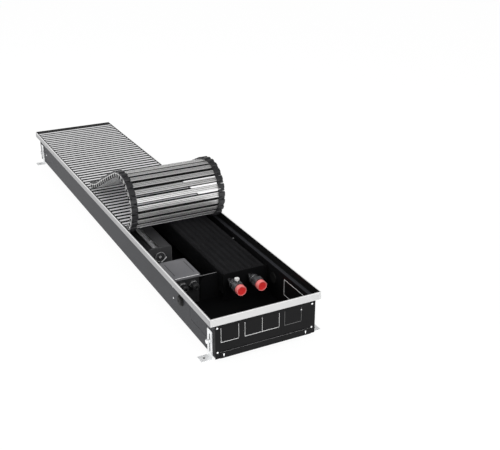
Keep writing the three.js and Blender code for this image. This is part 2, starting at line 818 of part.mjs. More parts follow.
function buildValve(name, x, hasVent) {
  const face = coreY0 - valveLength;
  const y1 = coreY0 - seat;
  const capBack = face + capLength;
  const profile = [
    [0, face + capRecess + capWall + seat],
    [capRadius - capWall - seat, face + capRecess + capWall + seat],
    [capRadius - capWall - seat, capBack],
    [valveRadius, capBack + seat],
    [valveRadius, y1 - 6],
    [tubeRadius, y1 - 4],
    [tubeRadius, y1],
    [0, y1],
  ];
  const union = prism('y', circle([x, tubeZ], unionRadius, 6), capBack + 1, capBack + 1 + unionLength);
  let body = join(turned(profile, [x, tubeZ]), union);
  if (hasVent) {
    const wide = ventStem + 2;
    const boss = [[0, tubeZ], [wide, tubeZ], [wide, ventSeatZ], [0, ventSeatZ]];
    body = join(body, turnedUp(boss, [x, face + ventAlong], smallSides));
  }
  place(name, body, nickel);
}

function buildCap(name, x) {
  const face = coreY0 - valveLength;
  const inner = capRadius - capWall;
  const profile = [
    [0, face + capRecess],
    [capRadius * 0.72, face + capRecess],
    [capRadius * 0.78, face],
    [capRadius - 1, face],
    [capRadius, face + 1],
    [capRadius, face + capLength - seat],
    [inner, face + capLength - seat],
    [inner, face + capRecess + capWall],
    [0, face + capRecess + capWall],
  ];
  place(name, turned(profile, [x, tubeZ]), redPlastic);
}

function buildVent() {
  const y = coreY0 - valveLength + ventAlong;
  const low = ventSeatZ + seat;
  const outline = Array.from({ length: 2 * ventRidges }, (_, i) => {
    const angle = (Math.PI * i) / ventRidges;
    const radius = ventRadius - (i % 2 ? ventGroove : 0);
    return [tubeX[0] + radius * Math.cos(angle), y + radius * Math.sin(angle)];
  });
  const knob = prism('z', outline, low + 2, low + ventHeight);
  const stem = turnedUp([[0, low], [ventStem, low], [ventStem, low + 3], [0, low + 3]], [tubeX[0], y], smallSides);
  place('air_vent', join(knob, stem), whitePlastic);
}

// ---- junction box ----
const boxX0 = -wallInnerX + boxWallGap;
const boxX1 = boxX0 + boxWidth;
const boxY0 = -endY + boxStart;
const boxY1 = boxY0 + boxLength;
const lidTop = topZ - boxDrop;
const glandX = [boxX0 + glandInset, boxX0 + glandInset + glandSpacing];

function inset([low, high], amount) {
  return [low + amount, high - amount];
}

function buildJunctionBox() {
  const x = [boxX0, boxX1];
  const y = [boxY0, boxY1];
  const step = lidSheet + seat;
  const outer = prism('z', roundedRectangle(inset(x, step), inset(y, step), boxCorner), restZ, lidTop - step);
  const hollow = block(inset(x, step + boxWall), inset(y, step + boxWall), [restZ + boxWall, lidTop]);
  const holes = glandX.map((gx) => {
    const hole = circle([gx, floorZ + glandRise], glandNeck + seat, roundSides);
    return prism('y', hole, boxY0, boxY0 + step + 2 * boxWall);
  });
  place('junction_box_base', cut(outer, hollow, holes), plasticBlack);

  const lid = prism('z', roundedRectangle(x, y, boxCorner), lidTop - lidSkirt, lidTop);
  const room = prism('z', roundedRectangle(inset(x, lidSheet), inset(y, lidSheet), boxCorner), lidTop - lidSkirt - 1, lidTop - lidSheet);
  const grooves = [-1, 1].map((side) => {
    const middle = (boxX0 + boxX1) / 2 + side * boxWidth * 0.36;
    const across = [middle - lidGroove / 2, middle + lidGroove / 2];
    return block(across, inset(y, boxLength * 0.16), [lidTop - lidGrooveDepth, lidTop + 1]);
  });
  place('junction_box_lid', cut(lid, room, grooves), boxGrey);
}

function buildGland(name, x) {
  const wallFace = boxY0 + lidSheet + seat;
  const out = wallFace - seat;
  const z = floorZ + glandRise;
  const profile = [
    [0, out - glandLength + 8],
    [glandBore, out - glandLength + 8],
    [glandBore, out - glandLength],
    [glandRadius - 3, out - glandLength],
    [glandRadius - 1, out - glandLength + 3],
    [glandRadius - 1, out - 6],
    [glandNeck, out - 5],
    [glandNeck, wallFace + boxWall + 3],
    [0, wallFace + boxWall + 3],
  ];
  const nut = prism('y', circle([x, z], glandRadius, 6), out - 5, out);
  place(name, join(turned(profile, [x, z]), nut), plasticBlack);
}

function buildBaffle() {
  const x0 = boxX1 + seat;
  const x1 = coreX0 - seat;
  const top = topZ - baffleDrop;
  const outline = [
    [x1, restZ],
    [x1, top],
    ...arc([x0 + baffleRadius, top - baffleRadius], baffleRadius, 90, 180, 4),
    [x0, restZ],
  ];
  const y = boxY0 + lidSheet + seat;
  const plate = prism('y', outline, y, y + sheet);
  const foot = block([x0, x1], [y, y + endFoldWidth], [restZ, restZ + sheet]);
  place('air_baffle', join(plate, foot), steelBlack);
}

buildTrough();
buildEndPanel('end_panel_near', -1);
buildEndPanel('end_panel_far', 1);
buildFrame();
buildFeet();
buildGrommet('wall_grommet_left', -1);
buildGrommet('wall_grommet_right', 1);
buildGrille();
buildFanHousing();
buildImpeller();
buildFanBearing();
buildFanMotor();
buildHeatExchanger();
buildValve('valve_supply', tubeX[0], true);
buildValve('valve_return', tubeX[1], false);
buildCap('valve_cap_supply', tubeX[0]);
buildCap('valve_cap_return', tubeX[1]);
buildVent();
buildJunctionBox();
buildGland('cable_gland_left', glandX[0]);
buildGland('cable_gland_right', glandX[1]);
buildBaffle();

export default heater;
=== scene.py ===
import json
import math
import bpy
import bmesh
from mathutils import Matrix, Vector


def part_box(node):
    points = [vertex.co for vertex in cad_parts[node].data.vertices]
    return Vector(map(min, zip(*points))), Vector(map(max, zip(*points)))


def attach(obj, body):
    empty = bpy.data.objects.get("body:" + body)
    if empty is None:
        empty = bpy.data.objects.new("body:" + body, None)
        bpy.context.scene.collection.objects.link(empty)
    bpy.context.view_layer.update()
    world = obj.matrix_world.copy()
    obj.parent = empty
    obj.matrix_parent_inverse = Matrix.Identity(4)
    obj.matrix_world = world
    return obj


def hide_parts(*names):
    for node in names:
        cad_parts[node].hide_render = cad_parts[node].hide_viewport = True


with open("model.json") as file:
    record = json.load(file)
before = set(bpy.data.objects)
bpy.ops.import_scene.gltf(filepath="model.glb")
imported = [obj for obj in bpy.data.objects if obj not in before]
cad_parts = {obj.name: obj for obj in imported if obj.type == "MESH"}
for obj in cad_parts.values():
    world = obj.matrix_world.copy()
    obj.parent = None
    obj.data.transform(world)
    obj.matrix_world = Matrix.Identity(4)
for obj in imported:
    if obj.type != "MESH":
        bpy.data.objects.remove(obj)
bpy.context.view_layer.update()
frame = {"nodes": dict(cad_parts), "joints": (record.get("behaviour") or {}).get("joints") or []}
nodes = frame["nodes"]
mm = 0.001  # the shapes below are written in millimetres


def newMaterial(name):
    material = bpy.data.materials.new(name)
    material.use_nodes = True
    tree = material.node_tree
    shader = tree.nodes["Principled BSDF"]
    return material, tree, shader


def mixedNoise(tree, scale, stretch, detail=4.0):
    coordinate = tree.nodes.new("ShaderNodeTexCoord")
    mapping = tree.nodes.new("ShaderNodeMapping")
    mapping.inputs["Scale"].default_value = stretch
    pattern = tree.nodes.new("ShaderNodeTexNoise")
    pattern.inputs["Scale"].default_value = scale
    pattern.inputs["Detail"].default_value = detail
    tree.links.new(coordinate.outputs["Object"], mapping.inputs["Vector"])
    tree.links.new(mapping.outputs["Vector"], pattern.inputs["Vector"])
    return pattern


def spread(color, amount):
    return [tuple(max(0.0, min(1.0, c * (1 + s * amount))) for c in color) + (1.0,) for s in (-1, 1)]


# The colour follows a broad and a fine noise, the roughness and the bump only the fine one.
def surface(name, color, rough, metal=0.0, vary=0.06, grain=900.0, stretch=(1, 1, 1),
            bump=0.15, depth=0.0002, cloud=14.0, specular=0.5, coat=0.0, roughVary=0.06):
    material, tree, shader = newMaterial(name)
    shader.inputs["Metallic"].default_value = metal
    shader.inputs["Specular IOR Level"].default_value = specular
    if coat:
        shader.inputs["Coat Weight"].default_value = coat
        shader.inputs["Coat Roughness"].default_value = 0.12
    clouds = mixedNoise(tree, cloud, (1, 1, 1), 3.0)
    fine = mixedNoise(tree, grain, stretch, 6.0)
    blend = tree.nodes.new("ShaderNodeMix")
    blend.data_type = "FLOAT"
    blend.inputs["Factor"].default_value = 0.5
    tree.links.new(clouds.outputs["Fac"], blend.inputs[2])
    tree.links.new(fine.outputs["Fac"], blend.inputs[3])
    ramp = tree.nodes.new("ShaderNodeValToRGB")
    low, high = spread(color, vary)
    ramp.color_ramp.elements[0].position = 0.3
    ramp.color_ramp.elements[1].position = 0.7
    ramp.color_ramp.elements[0].color = low
    ramp.color_ramp.elements[1].color = high
    tree.links.new(blend.outputs[0], ramp.inputs["Fac"])
    tree.links.new(ramp.outputs["Color"], shader.inputs["Base Color"])
    roughness = tree.nodes.new("ShaderNodeMapRange")
    roughness.inputs["To Min"].default_value = max(0.02, rough - roughVary)
    roughness.inputs["To Max"].default_value = min(1.0, rough + roughVary)
    tree.links.new(fine.outputs["Fac"], roughness.inputs["Value"])
    tree.links.new(roughness.outputs["Result"], shader.inputs["Roughness"])
    relief = tree.nodes.new("ShaderNodeBump")
    relief.inputs["Strength"].default_value = bump
    relief.inputs["Distance"].default_value = depth
    tree.links.new(fine.outputs["Fac"], relief.inputs["Height"])
    tree.links.new(relief.outputs["Normal"], shader.inputs["Normal"])
    return material


# Closer to the middle than the reach along one axis, a surface takes another colour and gloss, as painted
# shade.
def paintShadeInside(material, axis, reach, color, specular=0.1, metal=0.0):
    tree = material.node_tree
    shader = tree.nodes["Principled BSDF"]
    coordinate = tree.nodes.new("ShaderNodeTexCoord")
    split = tree.nodes.new("ShaderNodeSeparateXYZ")
    tree.links.new(coordinate.outputs["Object"], split.inputs["Vector"])
    distance = tree.nodes.new("ShaderNodeMath")
    distance.operation = "ABSOLUTE"
    tree.links.new(split.outputs[axis], distance.inputs[0])
    inside = tree.nodes.new("ShaderNodeMath")
    inside.operation = "LESS_THAN"
    inside.inputs[1].default_value = reach * mm
    tree.links.new(distance.outputs[0], inside.inputs[0])
    shadeMix = tree.nodes.new("ShaderNodeMix")
    shadeMix.data_type = "RGBA"
    tree.links.new(inside.outputs[0], shadeMix.inputs["Factor"])
    tree.links.new(shader.inputs["Base Color"].links[0].from_socket, shadeMix.inputs[6])
    shadeMix.inputs[7].default_value = (*color, 1.0)
    tree.links.new(shadeMix.outputs[2], shader.inputs["Base Color"])
    for name, value in (("Metallic", metal), ("Specular IOR Level", specular)):
        change = tree.nodes.new("ShaderNodeMapRange")
        change.inputs["To Min"].default_value = shader.inputs[name].default_value
        if shader.inputs[name].is_linked:
            tree.links.new(shader.inputs[name].links[0].from_socket, change.inputs["To Min"])
        change.inputs["To Max"].default_value = value
        tree.links.new(inside.outputs[0], change.inputs["Value"])
        tree.links.new(change.outputs["Result"], shader.inputs[name])


# The finishes, each named for what it covers.
wallPaint = surface("wall_paint", (0.034, 0.035, 0.040), 0.5, vary=0.12, grain=1500, bump=0.12, specular=0.20)
panelPaint = surface("panel_paint", (0.005, 0.005, 0.0055), 0.5, vary=0.15, grain=1500, bump=0.12,
                     specular=0.14)
slatMetal = surface("slat_metal", (0.92, 0.915, 0.91), 0.42, 0.72, vary=0.03, grain=500,
                    stretch=(0.02, 1, 1), bump=0.10, depth=0.0001)
slatFace = surface("slat_face", (0.90, 0.90, 0.91), 0.40, 0.25, vary=0.03, grain=500,
                   stretch=(0.02, 1, 1), bump=0.10, depth=0.0001)
slatEnd = surface("slat_end", (0.28, 0.28, 0.28), 0.42, 0.5, vary=0.05, grain=500)
# Painted shade: a dark copy of the slat metal for the webs and flanges, and for the flat mat's feet.
slatShade = surface("slat_shade", (0.016, 0.016, 0.017), 0.5, 0.1, vary=0.1, grain=500,
                   stretch=(0.02, 1, 1), specular=0.2)
railMetal = surface("rail_metal", (0.92, 0.92, 0.92), 0.40, 0.5, vary=0.03, grain=500,
                    stretch=(1, 0.02, 1), bump=0.08, depth=0.0001)
railMetalAcross = surface("rail_metal_across", (0.84, 0.84, 0.84), 0.42, 0.55, vary=0.03, grain=500,
                          stretch=(0.02, 1, 1), bump=0.08, depth=0.0001)
zincPlate = surface("zinc_plate", (0.93, 0.94, 0.95), 0.34, 0.3, vary=0.06, grain=260, bump=0.2,
                    depth=0.0001, cloud=60)
# Painted highlights along the end panels' lips, the baffle's top edge and the bearing's ring.
edgeHighlight = surface("painted_edge_highlight", (0.62, 0.62, 0.63), 0.35, 0.5, vary=0.1, grain=900)
# Painted glints: pale strips on bare cut edges, on the lid's near edge and on the fan's clip.
paintedGlint = surface("painted_glint", (0.95, 0.95, 0.95), 0.5, 0.0, vary=0.05, grain=900)
# A grey for a dim painted glint, a painted highlight on the fan's end plate edge, and painted shade in the
# foot holes.
dullEdge = surface("dull_edge", (0.16, 0.16, 0.16), 0.45, 0.2, vary=0.1, grain=900)
blackPlastic = surface("black_plastic", (0.018, 0.018, 0.019), 0.42, vary=0.12, grain=2200, bump=0.25)
linkPlastic = surface("link_plastic", (0.026, 0.026, 0.028), 0.42, vary=0.15, grain=2500, bump=0.2)
housingPlastic = surface("housing_plastic", (0.050, 0.050, 0.052), 0.34, vary=0.12, grain=1800, bump=0.2)
finCoat = surface("fin_coat", (0.026, 0.026, 0.028), 0.45, 0.2, vary=0.2, grain=700, bump=0.2)
bladeMetal = surface("blade_metal", (0.62, 0.62, 0.63), 0.40, 0.3, vary=0.1, grain=700, bump=0.1)
motorPaint = surface("motor_paint", (0.02, 0.02, 0.022), 0.5, 0.1, vary=0.2, grain=1200, bump=0.2)
rubber = surface("grommet_rubber", (0.008, 0.008, 0.008), 0.6, vary=0.2, grain=1800, bump=0.2, specular=0.3)
nickel = surface("dull_nickel", (0.22, 0.22, 0.23), 0.24, 0.85, vary=0.08, grain=420, bump=0.12, cloud=80)
# Nickel lightened as a painted glint on the gland nuts.
nickelGlint = surface("nickel_painted_glint", (0.90, 0.90, 0.91), 0.18, 0.75, vary=0.04, grain=420, bump=0.05)
redPlastic = surface("red_plastic", (1.0, 0.045, 0.045), 0.32, vary=0.05, grain=1600, bump=0.1, coat=0.15)
# The caps' rims, painted pinker than the discs as their highlight.
redRimHighlight = surface("red_rim_painted_highlight", (1.0, 0.24, 0.23), 0.30, vary=0.05, grain=1600, bump=0.1, coat=0.2)
whitePlastic = surface("white_plastic", (0.80, 0.80, 0.79), 0.34, vary=0.03, grain=1600, bump=0.08)
lidPlastic = surface("lid_plastic", (0.15, 0.15, 0.16), 0.34, vary=0.05, grain=1900, bump=0.3, coat=0.5)
# Painted shade: trough and frame are dark inside, and the frame's sides are darker than its top edge.
paintShadeInside(wallPaint, "X", 122.9, (0.005, 0.005, 0.0055))
paintShadeInside(railMetal, "Z", 109.4, (0.38, 0.38, 0.385), 0.4, 0.4)
paintShadeInside(railMetal, "X", 134.9, (0.006, 0.006, 0.006))
paintShadeInside(railMetalAcross, "Z", 110.4, (0.60, 0.60, 0.60), 0.5, 0.4)
paintShadeInside(railMetalAcross, "Y", 748.2, (0.006, 0.006, 0.006))
print("materials made")


def arcPoints(centre, radius, start, end, steps):
    points = []
    for i in range(steps + 1):
        angle = math.radians(start + (end - start) * i / steps)
        points.append((centre[0] + radius * math.cos(angle), centre[1] + radius * math.sin(angle)))
    return points


# Rounds the corners of an outline, by one radius or one per point; 0 keeps a corner sharp.
def rounded(points, radii, steps=3):
    result = []
    count = len(points)
    if not isinstance(radii, (list, tuple)):
        radii = [radii] * count
    for i, point in enumerate(points):
        here = Vector(point)
        before = Vector(points[i - 1]) - here
        after = Vector(points[(i + 1) % count]) - here
        radius = radii[i]
        if radius <= 0:
            result.append(tuple(here))
            continue
        half = before.angle(after) / 2
        reach = min(radius / math.tan(half), before.length * 0.49, after.length * 0.49)
        start = here + before.normalized() * reach
        end = here + after.normalized() * reach
        for k in range(steps + 1):
            t = k / steps
            a = start.lerp(here, t)
            b = here.lerp(end, t)
            result.append(tuple(a.lerp(b, t)))
    return result


def onAxis(axis, along, u, v):
    return {"x": (along, u, v), "y": (u, along, v), "z": (u, v, along)}[axis]


# Adds an outline extruded along an axis. Sizes in mm.
def addPrism(mesh, axis, outline, low, high, place=None):
    rings = []
    for along in (low, high):
        ring = []
        for u, v in outline:
            point = Vector(onAxis(axis, along, u, v)) * mm
            ring.append(mesh.verts.new(place @ point if place else point))
        rings.append(ring)
    count = len(outline)
    for i in range(count):
        k = (i + 1) % count
        mesh.faces.new((rings[0][i], rings[0][k], rings[1][k], rings[1][i]))
    mesh.faces.new(rings[0])
    mesh.faces.new(list(reversed(rings[1])))


def addBox(mesh, xs, ys, zs, radius=0.0, place=None):
    outline = [(xs[0], ys[0]), (xs[1], ys[0]), (xs[1], ys[1]), (xs[0], ys[1])]
    addPrism(mesh, "z", rounded(outline, radius) if radius else outline, zs[0], zs[1], place)


# Adds a turned shape. The profile is (radius, along) pairs; a radius of 0 is on the axis.
def addTurned(mesh, axis, profile, centre, sides=48, closed=False, place=None):
    rings = []
    for radius, along in profile:
        ring = []
        for i in range(1 if radius == 0 else sides):
            angle = 2 * math.pi * i / sides
            u = centre[0] + radius * math.cos(angle)
            v = centre[1] + radius * math.sin(angle)
            point = Vector(onAxis(axis, along, u, v)) * mm
            ring.append(mesh.verts.new(place @ point if place else point))
        rings.append(ring)
    pairs = list(zip(rings, rings[1:]))
    if closed:
        pairs.append((rings[-1], rings[0]))
    for low, high in pairs:
        for i in range(sides):
            k = (i + 1) % sides
            corners = [low[i % len(low)], low[k % len(low)], high[k % len(high)], high[i % len(high)]]
            unique = list(dict.fromkeys(corners))
            if len(unique) > 2:
                mesh.faces.new(unique)


# A tube of round section along points, with closed ends.
def addTube(mesh, points, radius, sides=12):
    path = [Vector(p) * mm for p in points]
    rings = []
    up = Vector((0.3, 0.1, 1)).normalized()
    for i, point in enumerate(path):
        ahead = path[min(i + 1, len(path) - 1)] - path[max(i - 1, 0)]
        side = ahead.cross(up).normalized()
        top = side.cross(ahead).normalized()
        ring = []
        for k in range(sides):
            angle = 2 * math.pi * k / sides
            outward = side * math.cos(angle) + top * math.sin(angle)
            ring.append(mesh.verts.new(point + outward * radius * mm))
        rings.append(ring)
    for low, high in zip(rings, rings[1:]):
        for i in range(sides):
            k = (i + 1) % sides
            mesh.faces.new((low[i], low[k], high[k], high[i]))
    mesh.faces.new(rings[0])
    mesh.faces.new(list(reversed(rings[-1])))


def finishPiece(name, mesh, material, body, replaced=(), smooth=32, bevel=0.0):
    bmesh.ops.recalc_face_normals(mesh, faces=mesh.faces)
    data = bpy.data.meshes.new(name)
    mesh.to_mesh(data)
    mesh.free()
    data.materials.append(material)
    data.polygons.foreach_set("use_smooth", [True] * len(data.polygons))
    data.set_sharp_from_angle(angle=math.radians(smooth))
    piece = bpy.data.objects.new(name, data)
    bpy.context.collection.objects.link(piece)
    if bevel:
        softenEdges(piece, bevel)
    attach(piece, body)
    if replaced:
        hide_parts(*replaced)
    return piece


def softenEdges(piece, width, segments=2, angle=35):
    modifier = piece.modifiers.new("soft_edges", "BEVEL")
    modifier.width = width * mm
    modifier.segments = segments
    modifier.limit_method = "ANGLE"
    modifier.angle_limit = math.radians(angle)
    modifier.harden_normals = True


def dressNode(name, material, bevel=0.0):
    node = nodes[name]
    node.data.materials.clear()
    node.data.materials.append(material)
    if bevel:
        node.data.polygons.foreach_set("use_smooth", [True] * len(node.data.polygons))
        softenEdges(node, bevel)


def boxOf(name):
    low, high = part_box(name)
    return [value / mm for value in low], [value / mm for value in high]


# Trough, end panels and frame. Sizes in mm.
trough = {
    "bevel": 0.35,
    "panelBevel": 0.25,
    "baffleBevel": 0.2,
    "railBevel": 0.4,
    "panelFace": 747.2,
    "knockouts": (-110.6, -53.1, -10.6, 45.9),
    "sharedEdge": -10.6,
    "knockoutWidth": 42.5,
    "knockoutHeight": (48.5, 84.0),
    "cutDepth": (745.98, 747.22),
    "edgeWidth": 0.9,
    "lipHalf": 113.5,
    "lipDepth": (748.0, 748.6),
    "lipHeight": (24.9, 25.12),
    "sideKnockoutLength": (-700.5, -609.5),
    "sideKnockoutHeight": (40.5, 81.5),
    "sideCutDepth": (121.97, 122.6),
    "sideEdgeWidth": 1.4,
}
fasteners = {
    "rivetRadius": 2.3,
    "panelAcross": (-119.5, 116),
    "panelHeights": (85.5, 25.5),
    "keyholes": (-105, 100),
    "wallPlaces": ((-510.5, 76), (-510.5, 45), (-334.5, 78), (674, 76), (674, 45)),
    "wallOutside": 123.2,
    "wallInside": 122.0,
}
grommet = {"radius": 14.4, "neck": 12.6, "dome": 4.8, "wall": (121.7, 123.5), "place": (-557.5, 62.0)}

dressNode("trough_shell", wallPaint, trough["bevel"])
dressNode("end_panel_near", panelPaint, trough["panelBevel"])
dressNode("end_panel_far", panelPaint, trough["panelBevel"])
dressNode("air_baffle", panelPaint, trough["baffleBevel"])
for name in ("frame_rail_left", "frame_rail_right"):
    dressNode(name, railMetal, trough["railBevel"])
for name in ("frame_rail_near", "frame_rail_far"):
    dressNode(name, railMetalAcross, trough["railBevel"])


# Bare metal shows along some of the cuts round the knock-outs; pale strips paint its glint there.
def makeKnockoutEdges():
    half = trough["edgeWidth"] / 2
    width = trough["knockoutWidth"]
    shared = trough["sharedEdge"]
    low, high = trough["knockoutHeight"]
    for end, name in ((-1, "near"), (1, "far")):
        bright = bmesh.new()
        faint = bmesh.new()
        depth = sorted(end * y for y in trough["cutDepth"])
        for start in trough["knockouts"]:
            # the fourth knock-out's edges get a dimmer painted glint
            mesh = faint if start > 0 else bright
            for x in (start, start + width):
                # the edge that two knock-outs share is drawn once
                if start == shared or abs(x - shared) > 0.1:
                    addBox(mesh, (x - half * 0.6, x + half * 0.6), depth, (low + half, high))
            addBox(mesh, (start - half, start + width - half), depth, (low - half, low + half))
        finishPiece(f"knockout_edges_{name}", bright, paintedGlint, "casing")
        finishPiece(f"knockout_edges_faint_{name}", faint, dullEdge, "casing")
        # a painted highlight along the top edge of the panel's lip
        edge = bmesh.new()
        depth = sorted(end * y for y in trough["lipDepth"])
        addBox(edge, (-trough["lipHalf"], trough["lipHalf"]), depth, trough["lipHeight"])
        finishPiece(f"lip_edge_{name}", edge, edgeHighlight, "casing")
    # The side knock-out's cut edges, painted pale as glints.
    mesh = bmesh.new()
    depth = trough["sideCutDepth"]
    half = trough["sideEdgeWidth"] / 2
    length = trough["sideKnockoutLength"]
    low, high = trough["sideKnockoutHeight"]
    for z in (low, high):
        addBox(mesh, depth, length, (z - half, z + half))
    for y in length:
        addBox(mesh, depth, (y - half, y + half), (low + half, high - half))
    finishPiece("knockout_edges_right", mesh, paintedGlint, "casing")


def addRivet(mesh, axis, centre, base, side, radius, height):
    profile = [(0, base), (radius, base), (radius, base + side * height * 0.35),
               (radius * 0.72, base + side * height * 0.85), (0, base + side * height)]
    addTurned(mesh, axis, profile, centre, 20)


def makeFasteners():
    mesh = bmesh.new()
    face = trough["panelFace"]
    for end in (-1, 1):
        for x in fasteners["panelAcross"]:
            for z in fasteners["panelHeights"]:
                addRivet(mesh, "y", (x, z), end * face, end, fasteners["rivetRadius"], 1.1)
        for x in fasteners["keyholes"]:
            key = arcPoints((x, 19), 1.7, -20, 200, 8) + arcPoints((x, 14), 0.8, 200, 340, 6)
            addPrism(mesh, "y", key, *sorted((end * 748.55, end * 748.75)))
    addRivet(mesh, "y", (88, 77.5), -face, -1, 1.5, 0.5)
    for side in (-1, 1):
        for place in fasteners["wallPlaces"]:
            addRivet(mesh, "x", place, side * fasteners["wallOutside"], side, 2.4, 1.2)
            addRivet(mesh, "x", place, side * fasteners["wallInside"], -side, 2.0, 1.6)
    finishPiece("rivets", mesh, zincPlate, "casing")


def makeGrommets():
    radius = grommet["radius"]
    neck = grommet["neck"]
    inner, out = grommet["wall"]
    dome = arcPoints((0, 0), grommet["dome"], 0, 90, 6)
    for side, name in ((-1, "left"), (1, "right")):
        mesh = bmesh.new()
        profile = [(0, inner - 0.6), (9, inner - 0.6), (10.5, inner - 1.4), (radius - 0.8, inner - 1.5),
                   (radius, inner - 0.8), (radius, inner), (neck, inner), (neck, out), (radius, out),
                   (radius, out + 0.9), (radius - 0.6, out + 1.5), (radius - 1.6, out + 1.6)]
        profile += [(7.8 + u, out + 1.6 + v) for u, v in dome]
        profile += [(3.2, out + 6.4), (2.6, out + 5.6), (0, out + 5.5)]
        addTurned(mesh, "x", [(r, side * along) for r, along in profile], grommet["place"], 48)
        finishPiece(f"grommet_{name}", mesh, rubber, "casing", [f"wall_grommet_{name}"])


# A painted highlight along the baffle's top edge.
def makeBaffleEdge():
    mesh = bmesh.new()
    low, high = boxOf("air_baffle")
    across = (low[0] + 0.6, high[0] - 0.6)
    addBox(mesh, across, (high[1] - 1.3, high[1] + 0.05), (high[2] - 0.25, high[2] - 0.02))
    finishPiece("baffle_edge", mesh, edgeHighlight, "casing")


makeKnockoutEdges()
makeFasteners()
makeBaffleEdge()
makeGrommets()
print("trough dressed")


# Feet: a slotted strip on the wall, bent outwards into a plate on the floor. Sizes in mm.
foot = {
    "fromMiddle": 719.5,
    "width": 24.0,
    "wall": 123.5,
    "thickness": 2.0,
    "tip": 151.0,
    "bendRadius": 3.0,
    "slotWidth": 6.4,
    "slotHeight": (15, 61),
    "top": 70,
    "bevel": 0.3,
    "holeAcross": 139.25,
    "holeRadius": 3.1,
    "screwHead": 5.3,
    "screwHeight": 42.0,
}


def makeBracket(name, side, middle):
    mesh = bmesh.new()
    thickness = foot["thickness"]
    inner = side * foot["wall"]
    outer = side * (foot["wall"] + thickness)
    tip = side * foot["tip"]
    half = foot["width"] / 2
    slotHalf = foot["slotWidth"] / 2
    low, high = foot["slotHeight"]
    top = foot["top"]
    xs = sorted((inner, outer))
    # the slot leaves two bars between the bend and the rounded top
    addBox(mesh, xs, (middle - half, middle - slotHalf), (low, high))
    addBox(mesh, xs, (middle + slotHalf, middle + half), (low, high))
    bridge = [(middle - half, high), (middle + half, high), (middle + half, top), (middle - half, top)]
    addPrism(mesh, "x", rounded(bridge, [0, 0, 4, 4]), *xs)
    r = foot["bendRadius"]
    bend = [(inner, low), (inner, r)]
    for degrees in (30, 60, 90):
        turn = math.radians(degrees)
        bend.append((inner + side * (r - r * math.cos(turn)), r - r * math.sin(turn)))
    bend += [(tip, 0), (tip, thickness), (inner + side * r, thickness), (outer, 2 * thickness), (outer, low)]
    addPrism(mesh, "y", bend, middle - half, middle + half)
    bmesh.ops.remove_doubles(mesh, verts=mesh.verts, dist=1e-6)
    finishPiece(f"foot_{name}", mesh, zincPlate, f"foot_{name}", [f"foot_bracket_{name}"],
                bevel=foot["bevel"])


# The floor screw's hole is a dark disc of painted shade, with a pressed edge.
def makeFootHole(name, side, middle):
    centre = (side * foot["holeAcross"], middle)
    r = foot["holeRadius"]
    mesh = bmesh.new()
    profile = [(r, 1.9), (r, 2.06), (3.9, 2.08), (4.3, 2.0), (4.3, 1.9)]
    addTurned(mesh, "z", profile, centre, 24, closed=True)
    finishPiece(f"foot_hole_rim_{name}", mesh, zincPlate, f"foot_{name}")
    mesh = bmesh.new()
    addTurned(mesh, "z", [(0, 1.95), (r, 1.95), (r, 2.03), (0, 2.03)], centre, 24)
    finishPiece(f"foot_hole_{name}", mesh, dullEdge, f"foot_{name}")


def makeScrew(name, side, middle):
    mesh = bmesh.new()
    head = foot["screwHead"]
    profile = [(0, 118.2), (2.4, 118.2), (2.75, 119), (2.75, 125.85), (4.7, 125.85), (4.7, 128.1),
               (2.75, 128.1), (2.75, 130.8), (head, 130.8), (head, 132.2), (head * 0.93, 133.4),
               (head * 0.72, 134.3), (head * 0.45, 134.7), (1.9, 134.75), (1.7, 133.6), (0, 133.4)]
    centre = (middle, foot["screwHeight"])
    addTurned(mesh, "x", [(r, side * along) for r, along in profile], centre, 32)
    finishPiece(f"clamp_screw_{name}", mesh, zincPlate, "casing", [f"foot_screw_{name}"])


def makeFeet():
    for end, endName in ((-1, "near"), (1, "far")):
        for side, sideName in ((-1, "left"), (1, "right")):
            name = f"{endName}_{sideName}"
            middle = end * foot["fromMiddle"]
            makeBracket(name, side, middle)
            makeFootHole(name, side, middle)
            makeScrew(name, side, middle)


makeFeet()
print("feet made")


# Roll-up grille. Sizes in mm, heights from the hinge line.
grille = {
    "pitch": 21.3,
    "face": 13.0,
    "width": 264.0,
    "flatSlats": 44,
    "top": 11.7,
    "faceDepth": 2.0,
    "foot": -0.5,
    "footHalf": 6.2,
    "footDepth": 1.7,
    "web": 1.1,
    "groove": 2.1,
    "endPlate": 0.8,
    "linkLength": 17.0,
    "linkGap": 0.4,
    "linkPlay": 0.15,
    "knuckle": 2.9,
    "under": -6.0,
    "pinRadius": 1.2,
}
# The slats' hinges, from the fold to the tail. A slat lies flat at the end of its hinge's range.
hinges = [joint for joint in frame["joints"] if joint["name"].startswith("slat_hinge_")]


# A slat lies between y = -pitch and y = 0: a bright face on flanges of painted shade, a web and a foot.
def addSlatFace(mesh, flanges, place):
    middle = -grille["pitch"] / 2
    reach = grille["width"] / 2
    half = grille["face"] / 2
    low, high = grille["top"] - grille["faceDepth"], grille["top"]
    outline = [(middle - half, low), (middle + half, low), (middle + half, high - 0.9),
               (middle + half - 1.05, high - 0.12), (middle - half + 1.05, high - 0.12),
               (middle - half, high - 0.9)]
    addPrism(flanges, "x", rounded(outline, 0.3, 2), -reach, reach, place)
    outline = [(middle - half + 1.1, high - 0.2), (middle + half - 1.1, high - 0.2),
               (middle + half - 1.2, high), (middle - half + 1.2, high)]
    addPrism(mesh, "x", outline, -reach, reach, place)


def addSlatFoot(mesh, place):
    middle = -grille["pitch"] / 2
    reach = grille["width"] / 2
    half = grille["footHalf"]
    low, high = grille["foot"], grille["foot"] + grille["footDepth"]
    outline = [(middle - half, low), (middle + half, low), (middle + half, high), (middle - half, high)]
    addPrism(mesh, "x", rounded(outline, 0.6), -reach, reach, place)


# The web and the end plates reach 0.1 mm into the foot and the face.
def webHeights():
    return grille["foot"] + grille["footDepth"] - 0.1, grille["top"] - grille["faceDepth"] + 0.1


